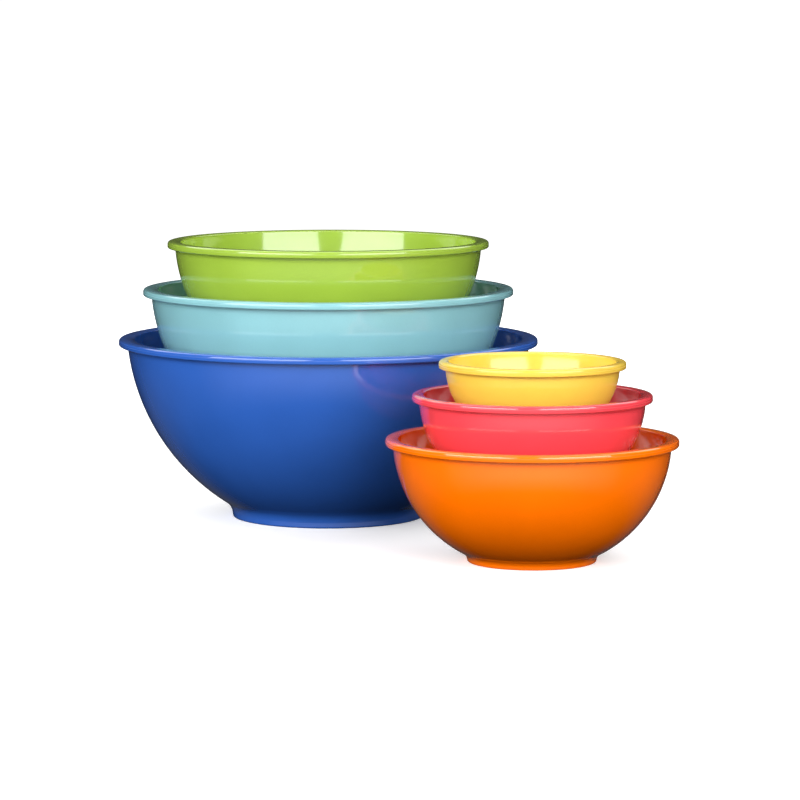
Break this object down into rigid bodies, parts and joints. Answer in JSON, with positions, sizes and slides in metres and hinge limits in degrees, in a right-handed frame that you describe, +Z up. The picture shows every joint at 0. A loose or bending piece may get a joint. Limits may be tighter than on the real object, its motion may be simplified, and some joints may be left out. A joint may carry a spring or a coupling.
{
  "type": "nesting mixing bowl set",
  "caption": "Round nesting mixing bowls in graded sizes, each with a broad lip and a foot ring, stood in raised stacks whose bowls lift out of one another.",
  "frame": {"origin": "centre of the box around the two stacks, at the level of the table they stand on", "axes": "+Z up; +X to the right and +Y to the back for someone facing the set, with the small stack in front on the right"},
  "size_m": [0.392, 0.4672, 0.2017],
  "materials": {
    "blue_melamine": "glossy moulded melamine, blue",
    "aqua_melamine": "glossy moulded melamine, aqua",
    "green_melamine": "glossy moulded melamine, green",
    "orange_melamine": "glossy moulded melamine, orange",
    "red_melamine": "glossy moulded melamine, red",
    "yellow_melamine": "glossy moulded melamine, yellow"
  },
  "bodies": {
    "blue_bowl": {"blue_bowl": "blue_melamine"},
    "aqua_bowl": {"aqua_bowl": "aqua_melamine"},
    "green_bowl": {"green_bowl": "green_melamine"},
    "orange_bowl": {"orange_bowl": "orange_melamine"},
    "red_bowl": {"red_bowl": "red_melamine"},
    "yellow_bowl": {"yellow_bowl": "yellow_melamine"}
  },
  "joints": [
    {"name": "aqua_lift", "type": "slide", "parent": "blue_bowl", "child": "aqua_bowl", "axis": [0, 0, 1], "range_m": [-0.0431, 0.1]},
    {"name": "green_lift", "type": "slide", "parent": "aqua_bowl", "child": "green_bowl", "axis": [0, 0, 1], "range_m": [-0.0422, 0.085]},
    {"name": "orange_lift", "type": "slide", "parent": "blue_bowl", "child": "orange_bowl", "axis": [0, 0, 1], "range_m": [0, 0.22]},
    {"name": "red_lift", "type": "slide", "parent": "orange_bowl", "child": "red_bowl", "axis": [0, 0, 1], "range_m": [-0.0394, 0.06]},
    {"name": "yellow_lift", "type": "slide", "parent": "red_bowl", "child": "yellow_bowl", "axis": [0, 0, 1], "range_m": [-0.0327, 0.05]}
  ]
}
